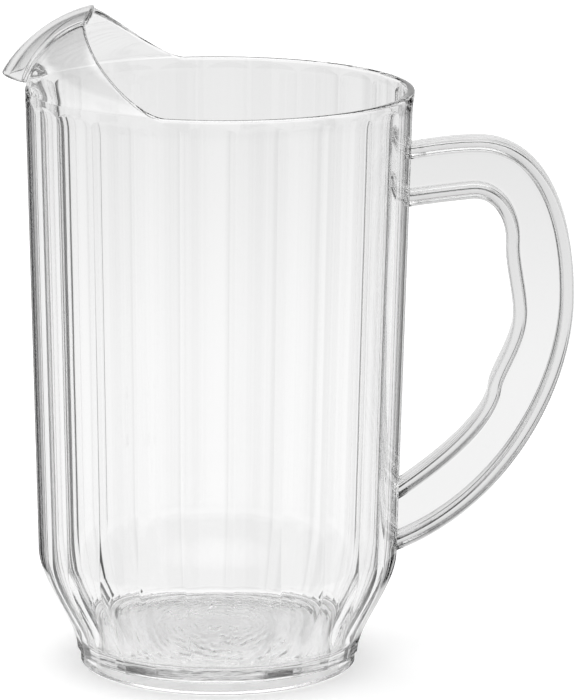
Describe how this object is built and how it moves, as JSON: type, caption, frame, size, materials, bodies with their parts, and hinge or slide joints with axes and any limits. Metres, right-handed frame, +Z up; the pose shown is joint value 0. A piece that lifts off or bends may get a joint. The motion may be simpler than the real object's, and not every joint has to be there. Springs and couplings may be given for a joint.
{
  "type": "beer pitcher",
  "caption": "Clear plastic beer pitcher with a fluted, slightly tapered body, a stepped-in foot, a hooded pouring spout and an open-section handle with finger rests.",
  "frame": {"origin": "centre of the foot ring's flat sole, on the body's axis, at table level", "axes": "+Z up along the body's axis, +X towards the handle, -X towards the spout; the XZ plane is the plane of symmetry"},
  "size_m": [0.1918, 0.13, 0.2237],
  "materials": {
    "clear_plastic": "polished, crystal clear"
  },
  "bodies": {
    "root": {"body_wall": "clear_plastic", "rim_band": "clear_plastic", "floor_disc": "clear_plastic", "foot_ring": "clear_plastic", "spout_hood": "clear_plastic", "handle_web": "clear_plastic", "handle_outer_rail": "clear_plastic", "handle_inner_rail": "clear_plastic"}
  },
  "joints": []
}
